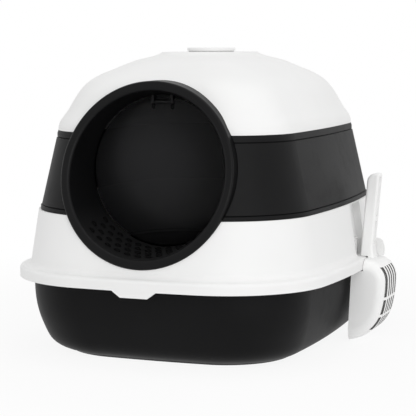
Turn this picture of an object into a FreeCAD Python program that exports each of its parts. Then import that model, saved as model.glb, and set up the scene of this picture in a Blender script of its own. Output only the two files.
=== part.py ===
"""Covered litter box: a pan, a hood of three stacked shells, a round entry with a swinging flap,
a deodoriser in the roof and a scoop that hangs on the side.

Millimetres. The origin is the middle of the pan's underside, +Z is up and the entry faces -Y.
"""
import FreeCAD, Part
import math
import os
import re

import Sketcher

doc = FreeCAD.newDocument("covered_litter_box")
sheet = doc.addObject("Spreadsheet::Sheet", "sizes")

# Every driving size, by piece. An outline is an oval of eight arcs: two bowed sides, two bowed
# ends and four corners. The pan's and the plateau's are given by their half width and half depth,
# the others by how much further out than the pan's rim they reach at each side and each end.
SIZES = {
    "pan": {
        "pan_height": 108,
        "pan_half_width": 189.5,
        "pan_half_depth": 237,
        "pan_corner": 97,
        "pan_side_bow": 2000,
        "pan_end_bow": 1880,
        "floor_wider": -38.5,
        "floor_deeper": -39,
        "floor_corner": 84,
        "floor_side_bow": 1270,
        "floor_end_bow": 1160,
        "pan_wall": 3,
        "rim_bead": 3.5,
        "rim_bead_height": 4,
    },
    "lower hood": {
        "flange_wider": 20.5,
        "flange_deeper": 30,
        "flange_corner": 132,
        "flange_side_bow": 1340,
        "flange_end_bow": 1240,
        "flange_height": 14,
        "flange_round": 4.5,
        "foot_wider": 8.6,
        "foot_deeper": 16.5,
        "foot_corner": 124,
        "foot_side_bow": 1280,
        "foot_end_bow": 1187,
        "foot_fillet": 8,
        "shoulder_wider": -1.2,
        "shoulder_deeper": 6,
        "shoulder_corner": 118,
        "shoulder_side_bow": 1240,
        "shoulder_end_bow": 1154,
        "lower_hood_height": 84,
        "hood_wall": 3,
        "rib_gap": 0.8,
        "rib_width": 2.2,
        "rib_depth": 6,
        "tab_top_width": 57,
        "tab_low_width": 35,
        "tab_drop": 8,
        "tab_inset": 0.4,
        "tab_root": 4,
        "tongue_height": 8,
        "tongue_wall": 2,
        "seat_clearance": 0.35,
        "niche_place": 40,
        "niche_width": 52,
        "niche_depth": 11,
        "niche_roof": 1.2,
        "niche_floor_gap": 0.3,
    },
    "middle band": {
        "band_height": 100,
        "band_foot_wider": -3.5,
        "band_foot_deeper": 4,
        "band_foot_corner": 117,
        "band_foot_side_bow": 1230,
        "band_foot_end_bow": 1145,
        "crown_wider": -28.5,
        "crown_deeper": -23.5,
        "crown_corner": 88,
        "crown_side_bow": 1600,
        "crown_end_bow": 1476,
        "band_lip_height": 5,
        "band_roll_height": 8,
        "band_roll_proud": 1.3,
        "band_groove_height": 1.6,
        "band_groove_depth": 1.4,
    },
    "top dome": {
        "dome_height": 98,
        "plateau_half_width": 46.5,
        "plateau_half_depth": 98,
        "plateau_corner": 31,
        "plateau_side_bow": 412,
        "plateau_end_bow": 233,
    },
    "entry ring": {
        "ring_level": 233,
        "ring_setback": 7.5,
        "ring_tilt": 13,
        "ring_radius": 112,
        "ring_wall": 2.8,
        "ring_lip_depth": 4,
        "ring_lip_round": 3,
        "ring_fit": 0.35,
        "bore_front_radius": 100.5,
        "bore_mouth_round": 5,
        "bore_back_radius": 94,
        "tunnel_length": 60,
    },
    "flap and hinge": {
        "flap_radius": 91.5,
        "flap_thickness": 2.5,
        "flap_setback": 0.5,
        "hinge_drop": 8,
        "knuckle_width": 21,
        "knuckle_radius": 3.6,
        "knuckle_side_gap": 0.6,
        "lug_width": 3,
        "lug_round": 3.6,
        "lug_gap": 0.6,
        "lug_root_depth": 0.6,
        "hinge_slot_drop": 9,
        "pin_radius": 1.6,
        "pin_overhang": 0.3,
        "pin_lug_fit": 0.03,
        "pin_running_fit": 0.08,
    },
    "deodoriser": {
        "cap_radius": 32,
        "cap_height": 4.2,
        "cap_round": 1.6,
        "cap_spigot": 6,
        "cap_fit": 0.4,
        "cup_flange_radius": 30,
        "cup_flange": 1.3,
        "cup_radius": 25.6,
        "cup_depth": 26,
        "cup_wall": 1.6,
        "cup_seat_fit": 0.4,
        "cup_slot_width": 3.2,
        "cup_slot_length": 12,
        "cup_slot_ring": 13,
        "charcoal_height": 10,
        "charcoal_fit": 0.6,
        "charcoal_chamfer": 1,
    },
    "scoop": {
        "scoop_place": 36,
        "bowl_width": 72,
        "bowl_wall": 1.8,
        "bowl_round": 14.5,
        "bowl_ground_gap": 1.5,
        "bowl_tip_gap": 0.9,
        "bowl_mouth_lean": 4.6,
        "bowl_flange_gap": 2,
        "neck_gap": 0.5,
        "bowl_depth": 51,
        "bowl_top_drop": 1,
        "bowl_top_bend": 28,
        "bowl_back_bend": 160,
        "bowl_belly_level": 43.5,
        "slot_width": 5,
        "slot_pitch": 10.8,
        "slot_upper_start": 61,
        "slot_upper_length": 39,
        "slot_lower_start": 38,
        "slot_lower_length": 19,
        "slot_belly_start": 17,
        "slot_belly_length": 17,
        "handle_width": 21,
        "handle_thickness": 15.5,
        "handle_length": 109,
        "handle_lean": 9,
        "handle_stand_off": 12.5,
        "handle_foot_gap": 0.6,
        "handle_flare": 9,
        "handle_flare_height": 16,
        "handle_round": 3,
        "handle_top_bend": 11,
        "handle_groove_width": 11,
        "handle_groove_depth": 5,
        "handle_groove_margin": 5,
        "handle_bridge": 6,
        "handle_bridge_level": 46,
    },
    "scoop holder": {
        "clip_plate": 3.4,
        "clip_seat_gap": 0.3,
        "clip_height": 22,
        "clip_finger": 3.5,
        "clip_grip_gap": 0.5,
        "clip_reach": 38,
        "clip_short_reach": 8,
        "clip_round": 8,
        "clip_edge": 1.2,
    },
    "all cuts": {
        "overrun": 20,
    },
}

# How far down the pan's side each level lies, and how far in towards the floor's outline.
PAN_PROFILE_SHARES = (
    (0.0, 0.0), (0.102, 0.002), (0.326, 0.034), (0.55, 0.129),
    (0.73, 0.284), (0.865, 0.455), (0.955, 0.76), (1.0, 1.0),
)
# How far up the dome each level lies, how far in towards the plateau, and the lean of the wall there.
DOME_PROFILE_SHARES = (
    (0.0, 0.0, 18), (0.214, 0.075, 22), (0.418, 0.168, 30), (0.592, 0.272, 42),
    (0.716, 0.42, 57), (0.8, 0.575, 66), (0.905, 0.785, 68), (1.0, 1.0, 72),
)
CUP_SLOTS = 6
SLOTS_PER_ROW = 6
TOUCH = 1e-3
X_AXIS = FreeCAD.Vector(1, 0, 0)
Y_AXIS = FreeCAD.Vector(0, 1, 0)
Z_AXIS = FreeCAD.Vector(0, 0, 1)
QUARTER_TURN = 90
FULL_TURN = 360

row = 0
for group, group_sizes in SIZES.items():
    for alias, number in group_sizes.items():
        row += 1
        sheet.set(f"A{row}", alias)
        sheet.set(f"B{row}", str(number))
        sheet.set(f"C{row}", group)
        sheet.setAlias(f"B{row}", alias)
doc.recompute()
ALIASES = {alias for group_sizes in SIZES.values() for alias in group_sizes}

# Places that several pieces share, each worked out from the sizes above.
FLANGE_LEVEL = "(pan_height - flange_height + hood_wall)"
FLANGE_TOP = "(pan_height + hood_wall)"
SHOULDER_LEVEL = f"({FLANGE_LEVEL} + lower_hood_height)"
CROWN_LEVEL = f"({SHOULDER_LEVEL} + band_height)"
PLATEAU_LEVEL = f"({CROWN_LEVEL} + dome_height)"
RING_FRONT = "(pan_half_depth - ring_setback)"
BORE_BACK = f"({RING_FRONT} - tunnel_length)"
FLAP_PLACE = f"({BORE_BACK} + flap_setback)"
HINGE_LEVEL = "(ring_level + bore_back_radius - hinge_drop)"
FLANGE_SIDE = "(pan_half_width + flange_wider)"
FLANGE_END = "(pan_half_depth + flange_deeper)"
FOOT_SIDE = "(pan_half_width + foot_wider)"
SHOULDER_SIDE = "(pan_half_width + shoulder_wider)"
NICHE_FLOOR_LOW = f"({FOOT_SIDE} - niche_depth)"
NICHE_FLOOR_HIGH = f"({SHOULDER_SIDE} - niche_depth)"
NICHE_LOW = f"({FLANGE_TOP} + niche_floor_gap)"
NICHE_HIGH = f"({SHOULDER_LEVEL} - niche_roof)"


def formula(text):
    """The text with each size's name pointed at its cell."""
    return re.sub(r"[a-z_]+", lambda word: f"sizes.{word[0]}" if word[0] in ALIASES else word[0], text)


def value(text):
    """The number that a formula of sizes comes to."""
    return float(sheet.evalExpression(formula(text)))


def bind(feature, **formulas):
    """Ties properties to formulas of sizes; a double underscore stands for a dot."""
    for name, text in formulas.items():
        feature.setExpression(name.replace("__", "."), formula(text))


# Outlines and sketches


def outline(name):
    """The five formulas of a named outline: half width, half depth, corner, side bow and end bow."""
    bends = (f"{name}_corner", f"{name}_side_bow", f"{name}_end_bow")
    if f"{name}_half_width" in ALIASES:
        return (f"{name}_half_width", f"{name}_half_depth", *bends)
    return (f"(pan_half_width + {name}_wider)", f"(pan_half_depth + {name}_deeper)", *bends)


def inset(oval, amount):
    """An outline moved inwards all round."""
    return tuple(f"({text} - ({amount}))" for text in oval)


def between(first, last, share):
    """An outline part of the way from one to another."""
    return tuple(f"({a} + ({b} - {a}) * ({share}))" for a, b in zip(first, last))


def plane(body, role):
    return next(feature for feature in body.Origin.OriginFeatures if feature.Role == role)


def sketch_on(body, name, role, offset):
    sketch = body.newObject("Sketcher::SketchObject", name)
    sketch.AttachmentSupport = [(plane(body, role), "")]
    sketch.MapMode = "FlatFace"
    bind(sketch, AttachmentOffset__Base__z=offset)
    return sketch


def dimension(sketch, kind, places, text):
    """One driving dimension of a sketch."""
    index = sketch.addConstraint(Sketcher.Constraint(kind, *places, value(text)))
    sketch.setExpression(f"Constraints[{index}]", formula(text))


def arc(x, y, radius, start, end):
    circle = Part.Circle(FreeCAD.Vector(x, y, 0), FreeCAD.Vector(0, 0, 1), radius)
    return Part.ArcOfCircle(circle, start, end)


def oval_sketch(body, name, level, oval):
    """An outline at a level: bowed sides and ends with tangent corners."""
    sketch = sketch_on(body, name, "XY_Plane", level)
    half_width, half_depth, corner, side_bow, end_bow = oval
    side_radius, end_radius, corner_radius = value(side_bow), value(end_bow), value(corner)
    side_x = value(half_width) - side_radius
    end_y = value(half_depth) - end_radius
    side_reach, end_reach = side_radius - corner_radius, end_radius - corner_radius
    span = math.hypot(side_x, end_y)
    along = (side_reach ** 2 - end_reach ** 2 + span ** 2) / (2 * span)
    off = math.sqrt(side_reach ** 2 - along ** 2)
    along_x, along_y = -side_x / span, end_y / span
    corner_x, corner_y = max(
        ((side_x + along * along_x - turn * off * along_y, along * along_y + turn * off * along_x)
         for turn in (1, -1)), key=sum)
    low = math.atan2(corner_y, corner_x - side_x)
    high = math.atan2(corner_y - end_y, corner_x)
    half, full = math.pi, 2 * math.pi
    for shape in (
            arc(side_x, 0, side_radius, -low, low),
            arc(corner_x, corner_y, corner_radius, low, high),
            arc(0, end_y, end_radius, high, half - high),
            arc(-corner_x, corner_y, corner_radius, half - high, half - low),
            arc(-side_x, 0, side_radius, half - low, half + low),
            arc(-corner_x, -corner_y, corner_radius, half + low, half + high),
            arc(0, -end_y, end_radius, half + high, full - high),
            arc(corner_x, -corner_y, corner_radius, full - high, full - low)):
        sketch.addGeometry(shape, False)
    sketch.addConstraint([Sketcher.Constraint("Tangent", i, 2, (i + 1) % 8, 1) for i in range(8)])
    sketch.addConstraint([Sketcher.Constraint("PointOnObject", i, 3, -1 - i % 4 // 2) for i in (0, 2, 4, 6)])
    alike = ((0, 4), (2, 6), (1, 3), (1, 5), (1, 7))
    sketch.addConstraint([Sketcher.Constraint("Equal", a, b) for a, b in alike])
    dimension(sketch, "Radius", (0,), side_bow)
    dimension(sketch, "Radius", (2,), end_bow)
    dimension(sketch, "Radius", (1,), corner)
    dimension(sketch, "DistanceX", (-1, 1, 0, 3), f"{half_width} - {side_bow}")
    dimension(sketch, "DistanceX", (-1, 1, 4, 3), f"{side_bow} - {half_width}")
    dimension(sketch, "DistanceY", (-1, 1, 2, 3), f"{half_depth} - {end_bow}")
    dimension(sketch, "DistanceY", (-1, 1, 6, 3), f"{end_bow} - {half_depth}")
    return sketch


def bent_edge(start, end, radius):
    """An arc between two points; a positive radius bulges to the right of the way from start to end."""
    middle = (start + end) * 0.5
    run = end - start
    left = FreeCAD.Vector(-run.y, run.x, 0).normalize()
    depth = math.sqrt(radius ** 2 - (run.Length / 2) ** 2)
    centre = middle + left * math.copysign(depth, radius)
    first = math.atan2(start.y - centre.y, start.x - centre.x)
    last = math.atan2(end.y - centre.y, end.x - centre.x)
    if radius > 0:
        return arc(centre.x, centre.y, radius, first, last), (1, 2)
    return arc(centre.x, centre.y, -radius, last, first), (2, 1)


def profile_sketch(body, name, role, offset, points, bends=None):
    """A closed profile of straight runs, with an arc from each point that has a bend."""
    sketch = sketch_on(body, name, role, offset)
    bends = bends or {}
    corners = [FreeCAD.Vector(value(x), value(y), 0) for x, y in points]
    ends = []
    for index, start in enumerate(corners):
        end = corners[(index + 1) % len(corners)]
        if index in bends:
            shape, order = bent_edge(start, end, value(bends[index]))
        else:
            shape, order = Part.LineSegment(start, end), (1, 2)
        sketch.addGeometry(shape, False)
        ends.append(order)
    for index in range(len(corners)):
        after = (index + 1) % len(corners)
        sketch.addConstraint(Sketcher.Constraint("Coincident", index, ends[index][1], after, ends[after][0]))
    for index, (x, y) in enumerate(points):
        dimension(sketch, "DistanceX", (-1, 1, index, ends[index][0]), x)
        dimension(sketch, "DistanceY", (-1, 1, index, ends[index][0]), y)
    for index, radius in bends.items():
        dimension(sketch, "Radius", (index,), f"abs({radius})")
    return sketch


def circle_sketch(body, name, role, offset, centre, radius):
    sketch = sketch_on(body, name, role, offset)
    middle = FreeCAD.Vector(value(centre[0]), value(centre[1]), 0)
    sketch.addGeometry(Part.Circle(middle, FreeCAD.Vector(0, 0, 1), value(radius)), False)
    dimension(sketch, "Radius", (0,), radius)
    dimension(sketch, "DistanceX", (-1, 1, 0, 3), centre[0])
    dimension(sketch, "DistanceY", (-1, 1, 0, 3), centre[1])
    return sketch


# Features


def new_body(label):
    return doc.addObject("PartDesign::Body", label)


def loft(body, name, levels, subtract=False, ruled=False):
    """A solid through outlines at rising levels, added to the body or taken from it."""
    sketches = [oval_sketch(body, f"{name}_{i}", level, oval) for i, (level, oval) in enumerate(levels)]
    kind = "PartDesign::SubtractiveLoft" if subtract else "PartDesign::AdditiveLoft"
    feature = body.newObject(kind, name)
    feature.Profile = sketches[0]
    feature.Sections = sketches[1:]
    feature.Ruled = ruled
    doc.recompute()
    return feature


def pad(body, name, sketch, length, midplane=False):
    feature = body.newObject("PartDesign::Pad", name)
    feature.Profile = sketch
    feature.Midplane = midplane
    bind(feature, Length=length)
    doc.recompute()
    return feature


def pocket(body, name, sketch, length, midplane=False, reverse=False):
    """A pocket that has to take material away."""
    before = body.Shape.Volume
    feature = body.newObject("PartDesign::Pocket", name)
    feature.Profile = sketch
    feature.Midplane = midplane
    feature.Reversed = reverse
    bind(feature, Length=length)
    doc.recompute()
    if body.Shape.Volume >= before:
        raise RuntimeError(f"{body.Label}: {name} cuts nothing")
    return feature


def edges_where(shape, test):
    return [f"Edge{i}" for i, edge in enumerate(shape.Edges, 1) if test(edge)]


def fillet(body, name, test, radius):
    """Rounds the edges of the body so far that pass the test."""
    base = body.Tip
    feature = body.newObject("PartDesign::Fillet", name)
    feature.Base = (base, edges_where(base.Shape, test))
    bind(feature, Radius=radius)
    doc.recompute()
    return feature


def near(number, text):
    """Whether a coordinate lies where a formula says."""
    return math.isclose(number, value(text), abs_tol=TOUCH)


def flat_at(edge, level):
    """Whether an edge lies flat at a level."""
    return near(edge.BoundBox.ZMin, level) and near(edge.BoundBox.ZMax, level)


def within(edge, oval):
    """Whether an edge reaches no further out than an outline's sides and ends."""
    box = edge.BoundBox
    across = max(-box.XMin, box.XMax) < value(oval[0]) + TOUCH
    return across and max(-box.YMin, box.YMax) < value(oval[1]) + TOUCH


def in_plane_y(edge, place):
    """Whether an edge lies in an upright plane that faces the front."""
    return near(edge.BoundBox.YMin, place) and near(edge.BoundBox.YMax, place)


def entry_hole(body):
    """The round hole for the entry ring, through the front wall only."""
    sketch = circle_sketch(body, f"{body.Label}_entry", "XZ_Plane", "0", ("0", "ring_level"),
                           "ring_radius + ring_fit")
    pocket(body, f"{body.Label}_entry_hole", sketch, f"{FLANGE_END} + overrun", reverse=True)


def primitive(kind, name, places=None, **formulas):
    """A box, cylinder or cone with its sizes and place tied to the sheet."""
    feature = doc.addObject(f"Part::{kind}", name)
    bind(feature, **formulas)
    for axis, text in (places or {}).items():
        feature.setExpression(f"Placement.Base.{axis}", formula(text))
    return feature


def turned(feature, axis, degrees):
    feature.Placement.Rotation = FreeCAD.Rotation(axis, degrees)
    return feature


def cut(name, base, tool):
    feature = doc.addObject("Part::Cut", name)
    feature.Base, feature.Tool = base, tool
    return feature


def fuse(name, pieces):
    feature = doc.addObject("Part::MultiFuse", name)
    feature.Shapes = pieces
    feature.Refine = True
    return feature


# Pan: a deep tub whose sides roll into the floor. Its rim is turned inwards, to keep the litter in.
pan = new_body("base_pan")
pan_top, pan_floor = outline("pan"), outline("floor")
rim_mouth = inset(pan_top, "pan_wall + rim_bead")
loft(pan, "pan_outside", [
    (f"pan_height * (1 - {down})", between(pan_top, pan_floor, across))
    for down, across in PAN_PROFILE_SHARES])
loft(pan, "pan_inside", [
    (f"pan_wall + (pan_height - rim_bead_height - pan_wall) * (1 - {down})",
     inset(between(pan_top, pan_floor, across), "pan_wall"))
    for down, across in PAN_PROFILE_SHARES], subtract=True)
pocket(pan, "pan_mouth", oval_sketch(pan, "pan_mouth_outline", "pan_height", rim_mouth), "rim_bead_height")

# Lower hood: a flange that sits on the pan's rim, with a skirt round it and a rib that finds its place,
# a leaning wall, and a tongue for the band.
hood = new_body("lower_hood")
flange, foot, shoulder = outline("flange"), outline("foot"), outline("shoulder")
band_foot, crown = outline("band_foot"), outline("crown")
band_inside_foot = inset(band_foot, "hood_wall")
band_inside_crown = inset(crown, "hood_wall")
tongue_foot = inset(band_inside_foot, "seat_clearance")
band_inside_tongue = between(band_inside_foot, band_inside_crown, "tongue_height / band_height")
tongue_top = inset(band_inside_tongue, "seat_clearance")
pad(hood, "hood_flange", oval_sketch(hood, "flange_outline", FLANGE_LEVEL, flange), "flange_height")
fillet(hood, "flange_top_round", lambda edge: flat_at(edge, FLANGE_TOP), "flange_round")
loft(hood, "hood_wall_outside", [(FLANGE_TOP, foot), (SHOULDER_LEVEL, shoulder)], ruled=True)
fillet(hood, "hood_foot_fillet",
       lambda edge: flat_at(edge, FLANGE_TOP) and within(edge, foot), "foot_fillet")
loft(hood, "hood_tongue", [
    (SHOULDER_LEVEL, tongue_foot), (f"{SHOULDER_LEVEL} + tongue_height", tongue_top)], ruled=True)
skirt = oval_sketch(hood, "skirt_inside_outline", FLANGE_LEVEL, inset(flange, "hood_wall"))
pocket(hood, "skirt_inside", skirt, "flange_height - hood_wall", reverse=True)
RIB_LEVEL = "(pan_height - rib_depth)"
rib_block = oval_sketch(hood, "rib_outline", RIB_LEVEL, inset(pan_top, "-rib_gap - rib_width"))
pad(hood, "rib_block", rib_block, "rib_depth")
rib_inside = oval_sketch(hood, "rib_inside_outline", RIB_LEVEL, inset(pan_top, "-rib_gap"))
pocket(hood, "rib_inside", rib_inside, "rib_depth", reverse=True)
flange_mouth = oval_sketch(hood, "flange_mouth_outline", "pan_height", rim_mouth)
pocket(hood, "flange_mouth", flange_mouth, "hood_wall", reverse=True)
ledge_share = "(lower_hood_height - hood_wall - flange_height) / (lower_hood_height - flange_height)"
loft(hood, "hood_wall_inside", [
    (FLANGE_TOP, inset(foot, "hood_wall")),
    (f"{SHOULDER_LEVEL} - hood_wall", inset(between(foot, shoulder, ledge_share), "hood_wall"))],
     subtract=True, ruled=True)
loft(hood, "hood_mouth", [
    (f"{SHOULDER_LEVEL} - hood_wall", inset(tongue_foot, "tongue_wall")),
    (SHOULDER_LEVEL, inset(tongue_foot, "tongue_wall")),
    (f"{SHOULDER_LEVEL} + tongue_height", inset(tongue_top, "tongue_wall"))], subtract=True, ruled=True)
entry_hole(hood)
tab = profile_sketch(hood, "tab_outline", "XZ_Plane", f"{FLANGE_END} - tab_inset - hood_wall", [
    ("-tab_top_width / 2", f"{FLANGE_LEVEL} + tab_root"), ("-tab_top_width / 2", FLANGE_LEVEL),
    ("-tab_low_width / 2", f"{FLANGE_LEVEL} - tab_drop"),
    ("tab_low_width / 2", f"{FLANGE_LEVEL} - tab_drop"),
    ("tab_top_width / 2", FLANGE_LEVEL), ("tab_top_width / 2", f"{FLANGE_LEVEL} + tab_root")])
pad(hood, "finger_tab", tab, "hood_wall")
# A niche in the right-hand wall leaves room for fingers behind the scoop's handle.
niche_back = profile_sketch(hood, "niche_back_outline", "XZ_Plane", "-niche_place", [
    (f"{NICHE_FLOOR_LOW} - hood_wall", "pan_height + niche_floor_gap"),
    (f"{FOOT_SIDE} - hood_wall / 2", "pan_height + niche_floor_gap"),
    (f"{SHOULDER_SIDE} - hood_wall / 2", SHOULDER_LEVEL),
    (f"{NICHE_FLOOR_HIGH} - hood_wall", SHOULDER_LEVEL)])
pad(hood, "niche_back", niche_back, "niche_width + 2 * hood_wall", midplane=True)
niche = profile_sketch(hood, "niche_outline", "XZ_Plane", "-niche_place", [
    (NICHE_FLOOR_LOW, NICHE_LOW), (f"{FLANGE_SIDE} + overrun", NICHE_LOW),
    (f"{FLANGE_SIDE} + overrun", NICHE_HIGH), (NICHE_FLOOR_HIGH, NICHE_HIGH)])
pocket(hood, "niche", niche, "niche_width", midplane=True)

# Middle band: a leaning ring with a lip at its foot and a roll at its top, each set off by a groove.
band = new_body("middle_band")


def band_at(height):
    """The band's plain wall at a height above its foot."""
    return between(band_foot, crown, f"({height}) / band_height")


LIP_TOP = f"({SHOULDER_LEVEL} + band_lip_height)"
ROLL_HEIGHT = "(band_height - band_roll_height)"
ROLL_FOOT = f"({SHOULDER_LEVEL} + {ROLL_HEIGHT})"
loft(band, "band_outside", [
    (SHOULDER_LEVEL, band_foot),
    (LIP_TOP, band_foot),
    (f"{LIP_TOP} + band_groove_height / 2", inset(band_at("band_lip_height"), "band_groove_depth")),
    (f"{LIP_TOP} + band_groove_height", band_at("band_lip_height + band_groove_height")),
    (f"{ROLL_FOOT} - band_groove_height", band_at(f"{ROLL_HEIGHT} - band_groove_height")),
    (f"{ROLL_FOOT} - band_groove_height / 2", inset(band_at(ROLL_HEIGHT), "band_groove_depth")),
    (ROLL_FOOT, inset(crown, "-band_roll_proud")),
    (f"{ROLL_FOOT} + band_roll_height / 2", inset(crown, "-band_roll_proud")),
    (CROWN_LEVEL, crown)], ruled=True)
loft(band, "band_inside", [
    (SHOULDER_LEVEL, band_inside_foot), (CROWN_LEVEL, band_inside_crown)], subtract=True, ruled=True)
entry_hole(band)

# Top dome: a rounded roof with a flat plateau, and a tongue that drops into the band.
dome = new_body("top_dome")
plateau = outline("plateau")
loft(dome, "dome_outside", [
    (f"{CROWN_LEVEL} + dome_height * {up}", between(crown, plateau, across))
    for up, across, lean in DOME_PROFILE_SHARES])
dome_tongue = inset(band_inside_crown, "seat_clearance")
tongue_sketch = oval_sketch(dome, "dome_tongue_outline", f"{CROWN_LEVEL} - tongue_height", dome_tongue)
pad(dome, "dome_tongue", tongue_sketch, "tongue_height + hood_wall")
# The lining follows the roof a wall's thickness inside it, square to the slope, above a ledge at its foot.
first_rise, first_run, first_lean = DOME_PROFILE_SHARES[1]
ledge_run = f"{first_run / first_rise} * hood_wall / dome_height"
lining = [(f"{CROWN_LEVEL} + hood_wall", inset(between(crown, plateau, ledge_run), "hood_wall"))]
for up, across, lean in DOME_PROFILE_SHARES[1:]:
    lining.append((f"{CROWN_LEVEL} + dome_height * {up} - hood_wall * sin({lean})",
                   inset(between(crown, plateau, across), f"hood_wall * cos({lean})")))
loft(dome, "dome_inside", lining, subtract=True)
tongue_mouth = oval_sketch(dome, "dome_mouth_outline", f"{CROWN_LEVEL} - tongue_height",
                           inset(dome_tongue, "tongue_wall"))
pocket(dome, "dome_mouth", tongue_mouth, "tongue_height + 2 * hood_wall", reverse=True)
entry_hole(dome)
cup_hole = circle_sketch(dome, "cup_hole_outline", "XY_Plane", PLATEAU_LEVEL, ("0", "0"),
                         "cup_radius + cup_seat_fit")
pocket(dome, "cup_hole", cup_hole, "2 * hood_wall")

# Entry ring: a level tube cut off on a slant, with a tunnel inside it that narrows to the flap.
TUBE_LENGTH = "(tunnel_length + ring_radius)"
tube_end = {"y": f"-{BORE_BACK}", "z": "ring_level"}


def level_tube(name, radius):
    tube = primitive("Cylinder", name, tube_end, Radius=radius, Height=TUBE_LENGTH)
    return turned(tube, X_AXIS, QUARTER_TURN)


def tunnel(name, thickness):
    """A taper from a round end behind the flap to a round mouth in the ring's slanted face."""
    back_end = primitive("Circle", f"{name}_back_end", Radius=f"bore_back_radius + {thickness}")
    mouth = primitive("Ellipse", f"{name}_mouth", MinorRadius=f"bore_front_radius + {thickness}",
                      MajorRadius=f"(bore_front_radius + {thickness}) / cos(ring_tilt)")
    upright_turn = f"rotation(vector(0; 0; 1); {QUARTER_TURN})"
    for end, place, lean in ((back_end, BORE_BACK, "0"), (mouth, RING_FRONT, "ring_tilt")):
        end.setExpression("Placement", formula(
            f"placement(vector(0; -{place}; ring_level); "
            f"rotation(vector(1; 0; 0); {QUARTER_TURN} - {lean}) * {upright_turn})"))
    taper = doc.addObject("Part::Loft", name)
    taper.Sections = [back_end, mouth]
    taper.Solid = True
    taper.Ruled = True
    return taper


def slant_block(name, behind):
    """Everything in front of the ring's slanted face, or of a plane behind it."""
    depth, height = "(2 * ring_radius)", "(4 * ring_radius)"
    block = primitive("Box", name, {
        "x": "-ring_radius - overrun",
        "y": f"-{RING_FRONT} + ({behind} - {depth}) * cos(ring_tilt) - {height} / 2 * sin(ring_tilt)",
        "z": f"ring_level - ({behind} - {depth}) * sin(ring_tilt) - {height} / 2 * cos(ring_tilt)",
    }, Length="2 * (ring_radius + overrun)", Width=depth, Height=height)
    turned(block, X_AXIS * -1, value("ring_tilt"))
    block.setExpression("Placement.Rotation.Angle", formula("ring_tilt * 1 deg"))
    return block


ring_blank = cut("ring_blank", level_tube("ring_tube", "ring_radius"), slant_block("ring_face", "0"))
ring_bored = cut("ring_bored", ring_blank, tunnel("tunnel_bore", "0"))
ring_gap_full = cut("ring_gap_full", level_tube("ring_gap_tube", "ring_radius - ring_wall"),
                    tunnel("tunnel_skin", "ring_wall"))
ring_gap = cut("ring_gap", ring_gap_full, slant_block("ring_lip_back", "ring_lip_depth"))
ring_shell = cut("ring_shell", ring_bored, ring_gap)
doc.recompute()


def on_slant(edge):
    """Whether an edge lies in the ring's slanted face."""
    tilt = math.radians(value("ring_tilt"))
    front, level = value(RING_FRONT), value("ring_level")
    return all(
        abs((point.y + front) * math.cos(tilt) - (point.z - level) * math.sin(tilt)) < TOUCH
        for point in edge.discretize(5))


ring_rounded = doc.addObject("Part::Fillet", "ring_rounded")
ring_rounded.Base = ring_shell
lip_edges = [(i, edge) for i, edge in enumerate(ring_shell.Shape.Edges, 1) if on_slant(edge)]
outer_edge = max(lip_edges, key=lambda item: item[1].Length)[0]
ring_rounded.Edges = [
    (i, *[value("ring_lip_round" if i == outer_edge else "bore_mouth_round")] * 2) for i, edge in lip_edges]
LUG_START = "(knuckle_width / 2 + knuckle_side_gap)"


def lug(side, start):
    """One hinge lug: it hangs from the tunnel's roof and its end is round about the pin."""
    end_place = {"x": start, "y": f"-{FLAP_PLACE}", "z": HINGE_LEVEL}
    round_end = primitive("Cylinder", f"{side}_lug_end", end_place, Radius="lug_round", Height="lug_width")
    turned(round_end, Y_AXIS, QUARTER_TURN)
    root = primitive("Box", f"{side}_lug_root", {
        "x": start, "y": f"-{FLAP_PLACE} - lug_round", "z": HINGE_LEVEL,
    }, Length="lug_width", Width="2 * lug_round", Height="hinge_drop + lug_root_depth")
    return [round_end, root]


def cross_pin(name, half_length, radius):
    """A cylinder along the hinge's axis."""
    place = {"x": f"-({half_length})", "y": f"-{FLAP_PLACE}", "z": HINGE_LEVEL}
    return turned(primitive("Cylinder", name, place, Radius=radius, Height=f"2 * ({half_length})"),
                  Y_AXIS, QUARTER_TURN)


PIN_HALF = f"({LUG_START} + lug_width + pin_overhang)"
ring_with_lugs = fuse("ring_with_lugs", [
    ring_rounded, *lug("left", f"-{LUG_START} - lug_width"), *lug("right", LUG_START)])
lug_holes = cross_pin("lug_holes", f"{PIN_HALF} + overrun", "pin_radius + pin_lug_fit")
ring = cut("entry_ring", ring_with_lugs, lug_holes)
hinge_pin = cross_pin("flap_hinge_pin", PIN_HALF, "pin_radius")

# Flap: a disc that hangs in the end of the tunnel, slotted for the lugs, with a knuckle on the pin.
HINGE_SLOT = "(knuckle_side_gap + lug_width + lug_gap)"
flap_disc = turned(primitive("Cylinder", "flap_disc", {
    "y": f"-{FLAP_PLACE} + flap_thickness / 2", "z": "ring_level",
}, Radius="flap_radius", Height="flap_thickness"), X_AXIS, QUARTER_TURN)


def hinge_slot(side, start):
    """A slot down from the disc's edge, which one lug hangs in."""
    return primitive("Box", f"{side}_hinge_slot", {
        "x": start, "y": f"-{FLAP_PLACE} - flap_thickness", "z": f"{HINGE_LEVEL} - hinge_slot_drop",
    }, Length=HINGE_SLOT, Width="2 * flap_thickness", Height="overrun")


hinge_slots = fuse("hinge_slots", [
    hinge_slot("left", f"-knuckle_width / 2 - {HINGE_SLOT}"), hinge_slot("right", "knuckle_width / 2")])
flap_solid = fuse("flap_solid", [cut("flap_slotted", flap_disc, hinge_slots),
                                 cross_pin("flap_knuckle", "knuckle_width / 2", "knuckle_radius")])
knuckle_hole = cross_pin("knuckle_hole", "knuckle_width", "pin_radius + pin_running_fit")
flap = cut("flap_door", flap_solid, knuckle_hole)

# Deodoriser: a slotted cup that drops into the plateau, a charcoal pad in it, and a cap on top.
CUP_FLOOR = f"({PLATEAU_LEVEL} - cup_depth)"
CAP_LEVEL = f"({PLATEAU_LEVEL} + cup_flange)"


def upright(name, level, radius, height):
    return primitive("Cylinder", name, {"z": level}, Radius=radius, Height=height)


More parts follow.
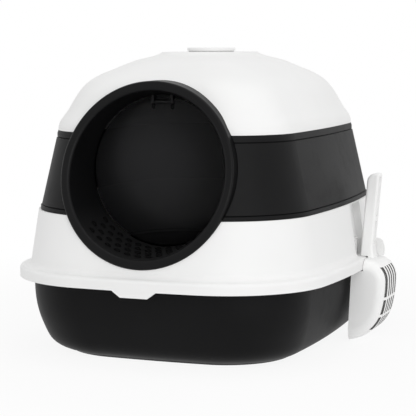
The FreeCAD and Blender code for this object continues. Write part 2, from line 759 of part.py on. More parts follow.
cup_solid = fuse("cup_solid", [
    upright("cup_flange_disc", PLATEAU_LEVEL, "cup_flange_radius", "cup_flange"),
    upright("cup_body", CUP_FLOOR, "cup_radius", "cup_depth + cup_flange")])
cup_inside = upright("cup_inside", f"{CUP_FLOOR} + cup_wall", "cup_radius - cup_wall",
                     "cup_depth + cup_flange")
cup_open = cut("cup_open", cup_solid, cup_inside)
slot_blocks = []
for index in range(CUP_SLOTS):
    turn = index * FULL_TURN / CUP_SLOTS
    slot_start = "(cup_slot_ring - cup_slot_length / 2)"
    block = primitive("Box", f"cup_slot_{index}", {
        "x": f"{slot_start} * cos({turn}) + cup_slot_width / 2 * sin({turn})",
        "y": f"{slot_start} * sin({turn}) - cup_slot_width / 2 * cos({turn})",
        "z": f"{CUP_FLOOR} - cup_wall",
    }, Length="cup_slot_length", Width="cup_slot_width", Height="3 * cup_wall")
    slot_blocks.append(turned(block, Z_AXIS, turn))
cup = cut("deodoriser_cup", cup_open, fuse("cup_slots", slot_blocks))
charcoal_disc = upright("charcoal_disc", f"{CUP_FLOOR} + cup_wall", "cup_radius - cup_wall - charcoal_fit",
                        "charcoal_height")
doc.recompute()
charcoal = doc.addObject("Part::Chamfer", "charcoal_pad")
charcoal.Base = charcoal_disc
charcoal.Edges = [(i, value("charcoal_chamfer"), value("charcoal_chamfer"))
                  for i, edge in enumerate(charcoal_disc.Shape.Edges, 1) if edge.Closed]
cap_disc = upright("cap_disc", CAP_LEVEL, "cap_radius", "cap_height")
doc.recompute()
cap_top = doc.addObject("Part::Fillet", "cap_top")
cap_top.Base = cap_disc
cap_top.Edges = [(i, value("cap_round"), value("cap_round")) for i, edge in enumerate(cap_disc.Shape.Edges, 1)
                 if flat_at(edge, f"{CAP_LEVEL} + cap_height")]
SPIGOT_LEVEL = f"({CAP_LEVEL} - cap_spigot)"
SPIGOT_RADIUS = "(cup_radius - cup_wall - cap_fit)"
spigot_outside = upright("cap_spigot_outside", SPIGOT_LEVEL, SPIGOT_RADIUS, "cap_spigot")
spigot_inside = upright("cap_spigot_inside", SPIGOT_LEVEL, f"{SPIGOT_RADIUS} - cup_wall", "cap_spigot")
cap = fuse("top_cap", [cap_top, cut("cap_spigot_ring", spigot_outside, spigot_inside)])

# Scoop: a deep bowl that hooks under the flange with its mouth to the pan, and a handle that stands above.
scoop = new_body("litter_scoop")
TIP = "(pan_half_width + bowl_tip_gap)"
NECK = f"({FLANGE_SIDE} + neck_gap)"
MOUTH_TOP = f"({FLANGE_LEVEL} - bowl_flange_gap)"
BOWL_TOP = f"({FLANGE_TOP} - bowl_top_drop)"
BOWL_BACK = f"({TIP} + bowl_depth)"


def bowl_profile(wall):
    """The bowl's back, from its top round to its tip, a wall's thickness inside its outside.

    The back starts upright below the top bend, and the belly goes on from the back without a corner.
    """
    top, back = f"({BOWL_TOP} - {wall})", f"({BOWL_BACK} - {wall})"
    top_bend, back_bend = f"(bowl_top_bend - {wall})", f"(bowl_back_bend - {wall})"
    low = f"(bowl_ground_gap + {wall})"
    back_turn = f"asin(({top} - {top_bend} - bowl_belly_level) / {back_bend})"
    belly = f"({back} - {back_bend} * (1 - cos({back_turn})))"
    run, fall = f"({belly} - {TIP})", f"(bowl_belly_level - {low})"
    belly_bend = f"(hypot({run}; {fall}) / (2 * sin(atan({run} / {fall}) - {back_turn})))"
    points = [
        (f"{back} - {top_bend}", top), (back, f"{top} - {top_bend}"),
        (belly, "bowl_belly_level"), (TIP, low)]
    return points, {0: f"-{top_bend}", 1: f"-{back_bend}", 2: f"-{belly_bend}"}


def bowl_rounds(name, wall):
    """Rounds the long edges of the bowl's outside or inside, round the shoulder, the back and the belly."""
    sides = [f"(scoop_place - bowl_width / 2 + {wall})", f"(scoop_place + bowl_width / 2 - {wall})"]

    def long_edge(edge):
        """Whether an edge runs along a side of the bowl, round its back or flat at its top."""
        if not any(in_plane_y(edge, side) for side in sides):
            return False
        return flat_at(edge, f"{BOWL_TOP} - {wall}") or not isinstance(edge.Curve, Part.Line)

    fillet(scoop, name, long_edge, f"bowl_round - {wall}")


outside_points, outside_bends = bowl_profile("0")
bowl = profile_sketch(scoop, "bowl_outline", "XZ_Plane", "-scoop_place", [
    *outside_points, (f"{TIP} + bowl_mouth_lean", MOUTH_TOP),
    (NECK, MOUTH_TOP), (NECK, BOWL_TOP)], outside_bends)
pad(scoop, "bowl_solid", bowl, "bowl_width", midplane=True)
inside_points, inside_bends = bowl_profile("bowl_wall")
inside_low, inside_top = inside_points[-1][1], inside_points[0][1]
bowl_inside = profile_sketch(scoop, "bowl_inside_outline", "XZ_Plane", "-scoop_place", [
    *inside_points, (f"{TIP} - overrun", inside_low), (f"{TIP} - overrun", f"{MOUTH_TOP} - bowl_wall"),
    (f"{NECK} + bowl_wall", f"{MOUTH_TOP} - bowl_wall"), (f"{NECK} + bowl_wall", inside_top)], inside_bends)
pocket(scoop, "bowl_inside", bowl_inside, "bowl_width - 2 * bowl_wall", midplane=True)
bowl_rounds("bowl_inside_rounds", "bowl_wall")
bowl_rounds("bowl_outside_rounds", "0")
HANDLE_FOOT = f"({FLANGE_TOP} + handle_foot_gap)"
HANDLE_INSIDE = f"({NICHE_FLOOR_LOW} + handle_stand_off)"


def handle_outside(height):
    """How far out the handle's outer face lies at a height above its foot."""
    return f"({HANDLE_INSIDE} + handle_thickness + handle_lean * ({height}) / handle_length)"


# The handle's inner top corner is an arc. Its flare goes on from its outer face without a corner and
# ends inside the wall of the bowl's top bend.
HANDLE_TOP = f"({HANDLE_FOOT} + handle_length)"
HANDLE_SLOPE = "atan(handle_lean / handle_length)"
corner_run = f"(handle_top_bend * tan(45 deg - {HANDLE_SLOPE} / 2))"
flare_run = f"({NECK} + handle_flare - {BOWL_BACK} + bowl_top_bend)"
flare_level = f"({BOWL_TOP} - bowl_wall / 2 - bowl_top_bend + sqrt(bowl_top_bend ^ 2 - {flare_run} ^ 2))"
flare_out = f"({NECK} + handle_flare - {handle_outside('handle_flare_height')})"
flare_drop = f"({HANDLE_FOOT} + handle_flare_height - {flare_level})"
flare_turn = f"(atan({flare_out} / {flare_drop}) + {HANDLE_SLOPE})"
flare_bend = f"(hypot({flare_out}; {flare_drop}) / (2 * sin({flare_turn})))"
handle = profile_sketch(scoop, "handle_outline", "XZ_Plane", "-scoop_place", [
    (HANDLE_INSIDE, HANDLE_FOOT),
    (f"{HANDLE_INSIDE} + handle_lean - {corner_run} * sin({HANDLE_SLOPE})",
     f"{HANDLE_TOP} - {corner_run} * cos({HANDLE_SLOPE})"),
    (f"{HANDLE_INSIDE} + handle_lean + {corner_run}", HANDLE_TOP),
    (handle_outside("handle_length"), HANDLE_TOP),
    (handle_outside("handle_flare_height"), f"{HANDLE_FOOT} + handle_flare_height"),
    (f"{NECK} + handle_flare", flare_level),
    (NECK, f"{BOWL_TOP} - bowl_wall / 2"), (NECK, HANDLE_FOOT)],
    {1: "-handle_top_bend", 4: flare_bend})
pad(scoop, "handle_bar", handle, "handle_width", midplane=True)


def handle_edge(edge):
    """The handle's long edges and the outer edge of its end."""
    box = edge.BoundBox
    if box.YLength > TOUCH and not near(box.XMax, handle_outside("handle_length")):
        return False
    return box.ZMax > value(f"{HANDLE_FOOT} + handle_flare_height") + TOUCH


fillet(scoop, "handle_rounds", handle_edge, "handle_round")


def handle_groove(name, low, high):
    """A groove down the handle's outer face, between two heights above its foot."""
    sketch = profile_sketch(scoop, f"{name}_outline", "XZ_Plane", "-scoop_place", [
        (f"{handle_outside(low)} - handle_groove_depth", f"{HANDLE_FOOT} + {low}"),
        (f"{handle_outside(high)} - handle_groove_depth", f"{HANDLE_FOOT} + {high}"),
        (f"{handle_outside(high)} + overrun", f"{HANDLE_FOOT} + {high}"),
        (f"{handle_outside(low)} + overrun", f"{HANDLE_FOOT} + {low}")])
    pocket(scoop, name, sketch, "handle_groove_width", midplane=True)


handle_groove("lower_groove", "handle_flare_height", "handle_bridge_level")
handle_groove("upper_groove", "(handle_bridge_level + handle_bridge)",
              "(handle_length - handle_groove_margin)")
first_slot = f"scoop_place - {SLOTS_PER_ROW - 1} / 2 * slot_pitch"
for name, inside in (("upper", NECK), ("lower", TIP), ("belly", TIP)):
    start, length = f"slot_{name}_start", f"slot_{name}_length"
    slot = profile_sketch(scoop, f"{name}_slot_outline", "YZ_Plane", f"{inside} + bowl_wall", [
        (f"{first_slot} - slot_width / 2", start), (f"{first_slot} + slot_width / 2", start),
        (f"{first_slot} + slot_width / 2", f"{start} + {length}"),
        (f"{first_slot} - slot_width / 2", f"{start} + {length}")])
    first = pocket(scoop, f"{name}_slot", slot, "bowl_depth", reverse=True)
    slots = scoop.newObject("PartDesign::LinearPattern", f"{name}_slots")
    slots.Originals = [first]
    slots.Direction = (slot, ["H_Axis"])
    slots.Occurrences = SLOTS_PER_ROW
    bind(slots, Length=f"{SLOTS_PER_ROW - 1} * slot_pitch")
    scoop.Tip = slots
    doc.recompute()

# Scoop holder: a plate on the niche's floor with two fingers that grip the handle's foot.
holder = new_body("scoop_holder")
PLATE = f"({NICHE_FLOOR_LOW} + clip_seat_gap)"
PLATE_FRONT = f"({PLATE} + clip_plate)"
FAR_FINGER = "(scoop_place + handle_width / 2 + clip_grip_gap + clip_finger)"
NEAR_FINGER = "(scoop_place - handle_width / 2 - clip_grip_gap)"
CLIP_TOP = f"({NICHE_LOW} + clip_height)"


def upright_piece(name, place, thickness, reach, bend):
    """An upright piece of the clip, with the upper corner of its free end rounded."""
    sketch = profile_sketch(holder, f"{name}_outline", "XZ_Plane", f"-{place}", [
        (PLATE, NICHE_LOW), (PLATE, CLIP_TOP), (f"{PLATE} + {reach} - {bend}", CLIP_TOP),
        (f"{PLATE} + {reach}", f"{CLIP_TOP} - {bend}"), (f"{PLATE} + {reach}", NICHE_LOW)], {2: f"-{bend}"})
    pad(holder, name, sketch, thickness)


CLIP_WIDTH = "(handle_width + 2 * clip_grip_gap + 2 * clip_finger)"
upright_piece("clip_back", FAR_FINGER, CLIP_WIDTH, "clip_plate", "clip_edge")
upright_piece("far_finger", FAR_FINGER, "clip_finger", "clip_reach", "clip_round")
upright_piece("near_finger", NEAR_FINGER, "clip_finger", "clip_short_reach", "clip_edge")

doc.recompute()
failed = [item.Name for item in doc.Objects if "Invalid" in item.State or "Error" in item.State]
if failed:
    raise RuntimeError(f"these failed: {failed}")
os.makedirs("parts", exist_ok=True)
sub_parts = [pan, hood, band, dome, ring, hinge_pin, flap, cup, charcoal, cap, scoop, holder]
for sub_part in sub_parts:
    if sub_part.Shape.isNull() or not sub_part.Shape.isValid() or len(sub_part.Shape.Solids) != 1:
        raise RuntimeError(f"{sub_part.Label} is not one sound solid")
for sub_part in sub_parts:
    sub_part.Shape.exportStep(f"parts/{sub_part.Label}.step")
    box = sub_part.Shape.BoundBox
    print(f"{sub_part.Label}: {box.XLength:.1f} x {box.YLength:.1f} x {box.ZLength:.1f} mm, "
          f"{sub_part.Shape.Volume / 1000:.1f} cm3")
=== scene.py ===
"""Covered litter box: the looks of its shells, entry, flap, deodoriser and scoop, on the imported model."""
import math

import bpy
from mathutils import Matrix, Vector


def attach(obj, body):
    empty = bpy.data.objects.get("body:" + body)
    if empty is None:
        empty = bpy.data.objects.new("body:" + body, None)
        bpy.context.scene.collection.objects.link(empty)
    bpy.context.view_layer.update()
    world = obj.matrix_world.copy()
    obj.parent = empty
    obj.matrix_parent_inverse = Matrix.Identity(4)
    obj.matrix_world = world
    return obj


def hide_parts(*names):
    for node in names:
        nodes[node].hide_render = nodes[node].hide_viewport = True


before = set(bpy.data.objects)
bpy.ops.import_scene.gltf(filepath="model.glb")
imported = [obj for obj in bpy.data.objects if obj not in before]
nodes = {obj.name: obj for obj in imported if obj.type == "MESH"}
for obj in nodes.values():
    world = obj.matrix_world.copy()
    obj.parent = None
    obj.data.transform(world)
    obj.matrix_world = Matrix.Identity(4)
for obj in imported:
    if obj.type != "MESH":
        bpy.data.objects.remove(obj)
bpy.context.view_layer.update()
bpy.ops.object.select_all(action="DESELECT")


# Base pan: a deep tub moulded in black polypropylene, with a fine spark-eroded grain that takes off
# the gloss. It stands on its floor, where it gets its first scuffs, and its rim carries the hood.


class Shade:
    """A socket of a material's nodes, with arithmetic that adds Math nodes."""

    def __init__(self, tree, socket):
        self.tree = tree
        self.socket = socket

    def node(self, kind, settings=None, sockets=None, output=0):
        """Adds a node: its settings first, then the values or links of its sockets."""
        made = self.tree.nodes.new(kind)
        for name, setting in (settings or {}).items():
            setattr(made, name, setting)
        for name, content in (sockets or {}).items():
            if isinstance(content, Shade):
                self.tree.links.new(content.socket, made.inputs[name])
            else:
                made.inputs[name].default_value = content
        return Shade(self.tree, made.outputs[output])

    def maths(self, operation, first, second):
        return self.node("ShaderNodeMath", {"operation": operation}, {0: first, 1: second})

    def __add__(self, other):
        return self.maths("ADD", self, other)

    def __sub__(self, other):
        return self.maths("SUBTRACT", self, other)

    def __rsub__(self, other):
        return self.maths("SUBTRACT", other, self)

    def __mul__(self, other):
        return self.maths("MULTIPLY", self, other)

    __radd__ = __add__
    __rmul__ = __mul__

    def above(self, level):
        """1 where this value is higher than a level."""
        return self.maths("GREATER_THAN", self, level)

    def below(self, level):
        """1 where this value is lower than a level."""
        return self.maths("LESS_THAN", self, level)

    def band(self, low, high):
        """0 below low, 1 above high and smooth between."""
        return self.node("ShaderNodeMapRange", {"interpolation_type": "SMOOTHSTEP"},
                         {"Value": self, "From Min": low, "From Max": high})

    def axis(self, index):
        """One of the three coordinates of a place: across, along or height."""
        return self.node("ShaderNodeSeparateXYZ", {}, {"Vector": self}, output=index)

    def distance(self, point):
        """How far a place is from a point."""
        return self.node("ShaderNodeVectorMath", {"operation": "DISTANCE"}, {0: self, 1: point}, output=1)

    def stretched(self, scale):
        """A place with its three axes scaled, for marks that run one way."""
        return self.node("ShaderNodeMapping", {}, {"Vector": self, "Scale": scale})

    def noise(self, scale, detail=2.0, roughness=0.5):
        """Even noise at a place; scale is in cells for each metre."""
        return self.node("ShaderNodeTexNoise", {}, {
            "Vector": self, "Scale": scale, "Detail": detail, "Roughness": roughness})

    def blend(self, first, second):
        """One colour where this value is 0 and another where it is 1."""
        return self.node("ShaderNodeMix", {"data_type": "RGBA"}, {0: self, 6: first, 7: second}, output=2)

    def relief(self, distance, strength):
        """A bumped normal with this value as its height."""
        return self.node("ShaderNodeBump", {}, {
            "Strength": strength, "Distance": distance, "Height": self})

    def feed(self, shader, name):
        self.tree.links.new(self.socket, shader.inputs[name])


def new_finish(name, **constants):
    """A material with its even values set, its shader, and the place on the piece to build on."""
    material = bpy.data.materials.new(name)
    material.use_nodes = True
    tree = material.node_tree
    shader = tree.nodes["Principled BSDF"]
    for socket, number in constants.items():
        shader.inputs[socket.replace("_", " ")].default_value = number
    return material, shader, Shade(tree, tree.nodes.new("ShaderNodeTexCoord").outputs["Object"])


def moulded(name, deep, pale, dullness, grain_size, grain_depth, scuff_top=0.0, **constants):
    """Moulded plastic: colour that drifts a little, uneven gloss, mould grain, scuffs near the floor."""
    drift_dulling, rub_dulling, scuff_dulling = 0.05, 0.04, 0.16
    scuff_share, scuff_paling, scuff_keep = 0.5, 0.04, 0.9
    scratch_cells = (90.0, 90.0, 900.0)
    material, shader, place = new_finish(name, **constants)
    drift = place.noise(scale=7.0, detail=3.0).band(0.3, 0.7)
    rubbed = place.noise(scale=38.0, detail=5.0, roughness=0.7).band(0.45, 0.75)
    grain = place.noise(scale=1 / grain_size, detail=2.0, roughness=0.6)
    colour = drift.blend(deep, pale)
    roughness = dullness + drift_dulling * (drift - 0.5) + rub_dulling * rubbed
    if scuff_top:
        scratches = place.stretched(scratch_cells).noise(scale=1.0, detail=4.0, roughness=0.7)
        scuffed = (1 - place.axis(2).band(0.0, scuff_top)) * scratches.band(0.5, 0.8)
        scuff_colour = tuple(scuff_paling + scuff_keep * part for part in pale[:3]) + (1.0,)
        colour = (scuff_share * scuffed).blend(colour, scuff_colour)
        roughness = roughness + scuff_dulling * scuffed
    colour.feed(shader, "Base Color")
    roughness.feed(shader, "Roughness")
    grain.relief(distance=grain_depth, strength=0.6).feed(shader, "Normal")
    return material


def dress(node, material):
    """Gives a carried-over piece its finish in all its material slots."""
    for index in range(len(nodes[node].material_slots)):
        nodes[node].material_slots[index].material = material


dress("base_pan", moulded(
    "black_satin_plastic",
    deep=(0.0038, 0.0038, 0.0041, 1.0), pale=(0.0052, 0.0052, 0.0056, 1.0),
    dullness=0.48, grain_size=0.0009, grain_depth=0.00005, scuff_top=0.03, Specular_IOR_Level=0.1))


# Lower hood: the white shell with the flange, moulded in polypropylene with a soft gloss that handling
# has left a little uneven. Its flange sits loose on the pan's rim.
shell_white = moulded(
    "white_shell_plastic",
    deep=(0.83, 0.83, 0.825, 1.0), pale=(0.86, 0.86, 0.857, 1.0),
    dullness=0.46, grain_size=0.0014, grain_depth=0.00003, Specular_IOR_Level=0.25)
dress("lower_hood", shell_white)


# Middle band: a black ring between the two white shells, moulded with a satin grain like the pan's
# and pushed onto the lower hood's tongue.
dress("middle_band", moulded(
    "band_satin_plastic",
    deep=(0.0048, 0.0048, 0.0051, 1.0), pale=(0.0064, 0.0064, 0.0068, 1.0),
    dullness=0.52, grain_size=0.0009, grain_depth=0.00004, Specular_IOR_Level=0.12))


# Top dome: the rounded white roof, moulded in the same plastic as the lower hood. A tongue under its
# edge drops into the band.
dress("top_dome", shell_white)


# Entry ring: a black tube cut off on a slant, moulded in one with its tunnel and set into the front of
# the hood. Litter dust pales the tunnel's floor, and rows of low raised ovals on it take the litter off a
# cat's feet; the ovals are coloured darker than the ring as painted shade.
ring_black = moulded(
    "ring_satin_plastic",
    deep=(0.0036, 0.0036, 0.0039, 1.0), pale=(0.0048, 0.0048, 0.0052, 1.0),
    dullness=0.4, grain_size=0.0008, grain_depth=0.00005, Specular_IOR_Level=0.13)
tunnel_level = 0.233
tunnel_end, tunnel_end_radius = -0.1695, 0.094
tunnel_mouth, tunnel_mouth_radius = -0.2295, 0.1005
mouth_lean = math.tan(math.radians(13))


def reopened(material):
    """The shader of a finished material, the place on the piece, and the colour that dust and painted shade
    are mixed into.
    """
    tree = material.node_tree
    shader = tree.nodes["Principled BSDF"]
    place = Shade(tree, tree.nodes["Texture Coordinate"].outputs["Object"])
    return shader, place, Shade(tree, shader.inputs["Base Color"].links[0].from_socket)


def dusty_tunnel(material, dust_and_shade_colour, reach, levels):
    """Pales the floor inside the tunnel; reach is where the tunnel's wall ends, levels where dust does."""
    shader, place, plain = reopened(material)
    flat = place.node("ShaderNodeVectorMath", {"operation": "MULTIPLY"}, {0: place, 1: (1.0, 0.0, 1.0)})
    off_axis = flat.distance((0.0, 0.0, tunnel_level))
    dust = (1 - off_axis.band(*reach)) * (1 - place.axis(2).band(*levels))
    dust = dust * (0.7 + 0.3 * place.noise(scale=60.0, detail=4.0, roughness=0.6))
    dust.blend(plain, dust_and_shade_colour).feed(shader, "Base Color")
    return material


dress("entry_ring", dusty_tunnel(
    ring_black, dust_and_shade_colour=(0.014, 0.014, 0.0143, 1.0), reach=(0.1003, 0.1008), levels=(0.15, 0.2)))

tread_rows = 4
tread_first, tread_last = 0.22, 0.8
tread_half_angle = math.radians(57)
tread_step = 0.0135 / tunnel_end_radius
tread_count = int(tread_half_angle / tread_step)
tread_smooth_angle = math.radians(40)
straight_down = math.radians(-90)
oval_half_length = 0.0044
oval_squeeze, oval_flatten = 0.62, 0.48
oval_sink = 0.0002
oval_segments, oval_rings = 12, 8

bpy.ops.mesh.primitive_uv_sphere_add(
    segments=oval_segments, ring_count=oval_rings, radius=oval_half_length)
first_oval = bpy.context.object
bpy.ops.object.mode_set(mode="EDIT")
bpy.ops.mesh.select_all(action="SELECT")
bpy.ops.mesh.bisect(plane_co=(0, 0, 0), plane_no=(0, 0, 1), clear_inner=True, use_fill=True)
bpy.ops.mesh.select_all(action="SELECT")
bpy.ops.transform.resize(value=(1, oval_squeeze, oval_flatten))
bpy.ops.object.mode_set(mode="OBJECT")
ovals = []
for row in range(tread_rows):
    inwards_share = 1 - (tread_first + (tread_last - tread_first) * row / (tread_rows - 1))
    is_staggered = row % 2
    for index in range(-tread_count, tread_count + 1 - is_staggered):
        angle = straight_down + (index + 0.5 * is_staggered) * tread_step
        to_axis = Vector((-math.cos(angle), 0, -math.sin(angle)))
        back = Vector((0, tunnel_end, tunnel_level)) - to_axis * tunnel_end_radius
        front = Vector((0, tunnel_mouth, tunnel_level)) - to_axis * tunnel_mouth_radius
        front.y += (front.z - tunnel_level) * mouth_lean
        along = (back - front).normalized()
        across = along.cross(to_axis).normalized()
        upright = across.cross(along)
        middle = front.lerp(back, inwards_share) - upright * oval_sink
        turn = Matrix((across, along, upright)).transposed().to_4x4()
        oval = first_oval.copy()
        oval.data = first_oval.data.copy()
        oval.data.transform(Matrix.Translation(middle) @ turn)
        bpy.context.collection.objects.link(oval)
        ovals.append(oval)
bpy.data.objects.remove(first_oval)
bpy.ops.object.select_all(action="DESELECT")
for oval in ovals:
    oval.select_set(True)
bpy.context.view_layer.objects.active = ovals[0]
bpy.ops.object.join()
tread = bpy.context.object
tread.name = "tunnel_tread"
bpy.ops.object.shade_smooth_by_angle(angle=tread_smooth_angle)
bpy.ops.object.select_all(action="DESELECT")
tread.data.materials.clear()
# The ovals' colour is painted shade: darker than the ring, for the shade on their sides.
tread.data.materials.append(moulded(
    "tread_painted_shade_plastic",
    deep=(0.0012, 0.0012, 0.0013, 1.0), pale=(0.0018, 0.0018, 0.0019, 1.0),
    dullness=0.6, grain_size=0.0008, grain_depth=0.00005, Specular_IOR_Level=0.05))
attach(tread, "hood")


# Flap: a disc of smoked clear plastic, moulded in one with a knuckle between two slots at its top. It
# swings on its pin at the end of the tunnel, and cats' backs rub it cloudy round its middle, where its
# colour is also paler as painted light. It stands for the solid flap, in which the cut for the pin runs
# on past the slots.
def smoked(name, deep, pale, middle, worn_middle_and_light_reach):
    """Clear plastic with a dark tint, rubbed cloudy round its middle, where its colour is paler as painted
    light.
    """
    clear_dullness, clear_cover = 0.22, 0.68
    material, shader, place = new_finish(name, IOR=1.49, Specular_IOR_Level=0.12)
    worn_middle_and_painted_light = 1 - place.distance(middle).band(*worn_middle_and_light_reach)
    cloud = place.noise(scale=16.0, detail=3.0).band(0.3, 0.75)
    rubbing = place.noise(scale=140.0, detail=4.0, roughness=0.65).band(0.45, 0.8)
    # Painted light: the colour is paler towards the flap's middle.
    (worn_middle_and_painted_light * (0.85 + 0.15 * cloud)).blend(deep, pale).feed(shader, "Base Color")
    (clear_dullness + 0.08 * worn_middle_and_painted_light + 0.06 * cloud + 0.06 * rubbing).feed(shader, "Roughness")
    (clear_cover + 0.04 * worn_middle_and_painted_light + 0.03 * cloud).feed(shader, "Alpha")
    rubbing.relief(distance=0.00001, strength=0.3).feed(shader, "Normal")
    return material


def round_bar(radius, length, place, turn, sides):
    """A cylinder at a place, turned about one axis, with the place in its mesh."""
    bpy.ops.mesh.primitive_cylinder_add(
        vertices=sides, radius=radius, depth=length, location=place, rotation=turn)
    bpy.ops.object.transform_apply(location=True, rotation=True, scale=True)
    return bpy.context.object


def combine(piece, other, operation):
    """Adds another solid to a piece or takes it away, and removes it."""
    modifier = piece.modifiers.new(operation.lower(), "BOOLEAN")
    modifier.operation = operation
    modifier.solver = "EXACT"
    modifier.object = other
    bpy.ops.object.select_all(action="DESELECT")
    bpy.context.view_layer.objects.active = piece
    bpy.ops.object.modifier_apply(modifier=modifier.name)
    bpy.data.objects.remove(other)


flap_place, flap_radius, flap_thickness = -0.17, 0.0915, 0.0025
flap_sides, knuckle_sides, pin_hole_sides = 192, 40, 32
flap_edge_round = 0.0004
flap_sharp_angle, flap_smooth_angle = math.radians(50), math.radians(35)
hinge_line = (0, flap_place, 0.319)
knuckle_radius, knuckle_half = 0.0036, 0.0105
hinge_slot, hinge_slot_foot, hinge_slot_height = 0.0042, 0.31, 0.02
pin_hole_radius, pin_hole_half = 0.00168, 0.0111
flap_lie = (math.radians(90), 0, 0)
hinge_lie = (0, math.radians(90), 0)

flap = round_bar(flap_radius, flap_thickness, (0, flap_place, tunnel_level), flap_lie, flap_sides)
flap.name = "flap_panel"
for side in (-1, 1):
    slot_place = (
        side * (knuckle_half + hinge_slot / 2), flap_place, hinge_slot_foot + hinge_slot_height / 2)
    bpy.ops.mesh.primitive_cube_add(
        size=1, location=slot_place, scale=(hinge_slot, 2 * flap_thickness, hinge_slot_height))
    bpy.ops.object.transform_apply(location=True, rotation=True, scale=True)
    combine(flap, bpy.context.object, "DIFFERENCE")
knuckle = round_bar(knuckle_radius, 2 * knuckle_half, hinge_line, hinge_lie, knuckle_sides)
combine(flap, knuckle, "UNION")
pin_hole = round_bar(pin_hole_radius, 2 * pin_hole_half, hinge_line, hinge_lie, pin_hole_sides)
combine(flap, pin_hole, "DIFFERENCE")
rounding = flap.modifiers.new("rounding", "BEVEL")
rounding.width = flap_edge_round
rounding.segments = 2
rounding.limit_method = "ANGLE"
rounding.angle_limit = flap_sharp_angle
bpy.ops.object.select_all(action="DESELECT")
bpy.context.view_layer.objects.active = flap
flap.select_set(True)
bpy.ops.object.modifier_apply(modifier=rounding.name)
bpy.ops.object.shade_smooth_by_angle(angle=flap_smooth_angle)
bpy.ops.object.select_all(action="DESELECT")
flap.data.materials.clear()
flap.data.materials.append(smoked(
    "smoked_clear_plastic",
    deep=(0.004, 0.004, 0.0043, 1.0), pale=(0.02, 0.02, 0.021, 1.0),
    middle=(-0.018, flap_place, 0.235), worn_middle_and_light_reach=(0.025, 0.1)))
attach(flap, "flap")
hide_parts("flap_door")


# Hinge pin: a cut length of drawn steel wire, with the marks of the die along it, pushed through the
# ring's lugs and the flap's knuckle.
def drawn_wire(name, deep, pale):
    """Bright steel with draw marks along its length, which lies across the box."""
    draw_cells = (30.0, 2600.0, 2600.0)
    material, shader, place = new_finish(name, Metallic=1.0)
    marks = place.stretched(draw_cells).noise(scale=1.0, detail=3.0, roughness=0.6)
    marks.blend(deep, pale).feed(shader, "Base Color")
    (0.24 + 0.2 * marks).feed(shader, "Roughness")
    marks.relief(distance=0.00003, strength=0.5).feed(shader, "Normal")
    return material


dress("flap_hinge_pin", drawn_wire(
    "drawn_steel_wire", deep=(0.42, 0.42, 0.43, 1.0), pale=(0.58, 0.58, 0.59, 1.0)))


# Deodoriser cup: a thin cup with slots in its floor, moulded in matt white plastic. It drops into a
# hole in the roof and hangs there by its flange.
dress("deodoriser_cup", moulded(
    "matt_cup_plastic",
    deep=(0.74, 0.74, 0.73, 1.0), pale=(0.78, 0.78, 0.77, 1.0),
    dullness=0.55, grain_size=0.001, grain_depth=0.00004, Specular_IOR_Level=0.4))


# Charcoal pad: a round mat of pressed carbon fibres that takes up smells, cut to size and laid loose
# on the cup's floor.
def felted(name, deep, pale):
    """A pressed mat of short dark fibres."""
    material, shader, place = new_finish(name, Sheen_Weight=0.25, Sheen_Roughness=0.5)
    tangle = place.noise(scale=420.0, detail=5.0, roughness=0.75)
    fibres = place.node("ShaderNodeTexVoronoi", {"feature": "DISTANCE_TO_EDGE"},
                        {"Vector": place, "Scale": 900.0, "Randomness": 1.0})
    mat = tangle.band(0.3, 0.7) * (0.5 + 4.0 * fibres)
    mat.blend(deep, pale).feed(shader, "Base Color")
    (0.96 - 0.08 * tangle).feed(shader, "Roughness")
    mat.relief(distance=0.0006, strength=0.9).feed(shader, "Normal")
    return material


dress("charcoal_pad", felted(
    "carbon_felt", deep=(0.014, 0.014, 0.0145, 1.0), pale=(0.05, 0.05, 0.051, 1.0)))


# Roof cap: a shallow white lid, moulded with a smoother face than the shells. It drops into the
# deodoriser cup and is lifted out by its edge.
dress("top_cap", moulded(
    "white_cap_plastic",
    deep=(0.83, 0.83, 0.825, 1.0), pale=(0.855, 0.855, 0.85, 1.0),
    dullness=0.32, grain_size=0.0012, grain_depth=0.00003, Specular_IOR_Level=0.45))


# Scoop holder: a white plate with two fingers, moulded in one and fixed in the niche of the lower hood.
# The scoop's handle is pushed between the fingers.
dress("scoop_holder", moulded(
    "white_holder_plastic",
    deep=(0.8, 0.8, 0.795, 1.0), pale=(0.83, 0.83, 0.825, 1.0),
    dullness=0.42, grain_size=0.001, grain_depth=0.00003, Specular_IOR_Level=0.4))


# Scoop: a deep slotted bowl and a grooved handle, moulded in one in glossy white plastic. It hangs by
# its handle on the holder, and the sides of its slots are coloured dark grey as painted shade.
scoop_white = moulded(
    "white_scoop_plastic",
    deep=(0.87, 0.87, 0.865, 1.0), pale=(0.9, 0.9, 0.895, 1.0),
    dullness=0.34, grain_size=0.0011, grain_depth=0.00003, Specular_IOR_Level=0.45)


def slot_painted_shade(material, dust_and_shade_colour, first, last, pitch, reach, rows):
    """Paints shade on the slots' sides; each row gives its lowest and highest level and least place across.
    """
    shader, place, plain = reopened(material)
    across, along, height = (place.axis(index) for index in range(3))
    off_middle = along.maths("PINGPONG", along - first, pitch / 2)
    in_slots = off_middle.below(reach) * along.above(first - reach) * along.below(last + reach)
    in_rows = 0.0
    for low, high, least in rows:
        in_rows = in_rows + height.above(low) * height.below(high) * across.above(least)
    # Painted shade: the slots' sides are coloured dark grey where shade falls inside them.
    (in_slots * in_rows).blend(plain, dust_and_shade_colour).feed(shader, "Base Color")
    return material


# The scoop's slot sides get painted shade, a dark grey colour.
dress("litter_scoop", slot_painted_shade(
    scoop_white, dust_and_shade_colour=(0.11, 0.108, 0.105, 1.0),
    first=0.009, last=0.063, pitch=0.0108, reach=0.00256,
    rows=((0.0609, 0.1001, 0.2135), (0.0379, 0.0571, 0.195), (0.0169, 0.0341, 0.195))))


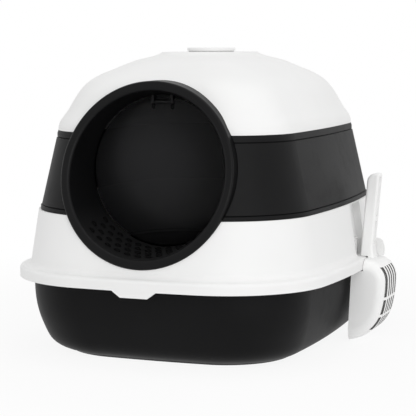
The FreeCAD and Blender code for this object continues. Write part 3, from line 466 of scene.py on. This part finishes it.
# Floor and surroundings: a pale studio floor that runs out to a white background and keeps the box's
# soft shadow.
def background_rays(tree):
    """1 where the background is seen straight, in a gloss or through something clear."""
    ways = tree.nodes.new("ShaderNodeLightPath").outputs
    straight, gloss, clear = (Shade(tree, ways[name]) for name in (
        "Is Camera Ray", "Is Glossy Ray", "Is Transmission Ray"))
    return straight.maths("MAXIMUM", straight.maths("MAXIMUM", straight, gloss), clear)


plain_white = (1.0, 1.0, 1.0, 1.0)
floor_width, floor_drop = 12, 0.0003
bpy.ops.mesh.primitive_plane_add(size=floor_width, location=(0, 0, 0))
floor = bpy.context.object
floor.name = "studio_floor"
floor.data.transform(Matrix.Translation((0, 0, -floor_drop)))
paper = bpy.data.materials.new("studio_paper")
paper.use_nodes = True
paper_tree = paper.node_tree
paper_tree.nodes.clear()
spot = Shade(paper_tree, paper_tree.nodes.new("ShaderNodeTexCoord").outputs["Object"])
far = spot.distance((0.0, 0.0, 0.0)).band(0.35, 0.9)
lit = spot.node("ShaderNodeBsdfDiffuse", {}, {"Color": (0.84, 0.84, 0.84, 1.0)})
white = spot.node("ShaderNodeEmission", {}, {"Color": plain_white, "Strength": 1.0})
share_white = (0.4 + 0.6 * background_rays(paper_tree)) * (0.9 + 0.1 * far)
surface = spot.node("ShaderNodeMixShader", {}, {0: share_white, 1: lit, 2: white})
paper_output = paper_tree.nodes.new("ShaderNodeOutputMaterial")
surface.feed(paper_output, "Surface")
floor.data.materials.append(paper)

room_strength, backdrop_strength = 0.7, 1.0
world = bpy.data.worlds.new("studio")
bpy.context.scene.world = world
world.use_nodes = True
world_tree = world.node_tree
world_tree.nodes.clear()
seen = background_rays(world_tree)
room = seen.node("ShaderNodeBackground", {}, {"Color": plain_white, "Strength": room_strength})
backdrop = seen.node("ShaderNodeBackground", {}, {"Color": plain_white, "Strength": backdrop_strength})
sky = seen.node("ShaderNodeMixShader", {}, {0: seen, 1: room, 2: backdrop})
world_output = world_tree.nodes.new("ShaderNodeOutputWorld")
sky.feed(world_output, "Surface")


# Light and camera: a soft key from the upper right, a softbox over the roof, a weak fill from the left,
# a low fill from the right for the pan and the scoop, and a long lens at about the roof's height.
def turned_to(place, aim):
    """The turn that points a lamp or the camera at a place to an aim."""
    return (Vector(aim) - Vector(place)).to_track_quat("-Z", "Y").to_euler()


def softbox(name, place, aim, width, height, power):
    """An area lamp at a place, turned to a point."""
    data = bpy.data.lights.new(name, "AREA")
    data.shape = "RECTANGLE"
    data.size = width
    data.size_y = height
    data.energy = power
    lamp = bpy.data.objects.new(name, data)
    lamp.location = place
    lamp.rotation_euler = turned_to(place, aim)
    bpy.context.collection.objects.link(lamp)


softbox("key_softbox", place=(1.5, -2.3, 1.7), aim=(0, 0, 0.2), width=1.5, height=1.5, power=8)
softbox("roof_softbox", place=(0.4, -0.2, 2.2), aim=(0, 0, 0.3), width=1.6, height=1.6, power=8)
softbox("left_fill", place=(-2.2, -1.4, 0.9), aim=(0, 0, 0.2), width=1.2, height=1.2, power=2)
softbox("right_fill", place=(1.6, -2.2, 0.5), aim=(0.15, 0, 0.15), width=1.2, height=0.8, power=12)

camera_turn, camera_rise = math.radians(20.3325), math.radians(8.2406)
camera_distance, camera_foot = 2.0423, 0.097
aim_shift, aim_height = -0.0044, 0.1699
towards = Vector((
    math.sin(camera_turn) * math.cos(camera_rise),
    -math.cos(camera_turn) * math.cos(camera_rise),
    math.sin(camera_rise)))
sideways = Vector((math.cos(camera_turn), math.sin(camera_turn), 0))
eye = Vector((0, 0, camera_foot)) + towards * camera_distance
camera_data = bpy.data.cameras.new("camera")
camera_data.sensor_width = 36
camera_data.lens = 130.82
camera = bpy.data.objects.new("camera", camera_data)
camera.location = eye
camera.rotation_euler = turned_to(eye, sideways * aim_shift + Vector((0, 0, aim_height)))
bpy.context.collection.objects.link(camera)
bpy.context.scene.camera = camera
bpy.context.scene.view_settings.view_transform = "Standard"
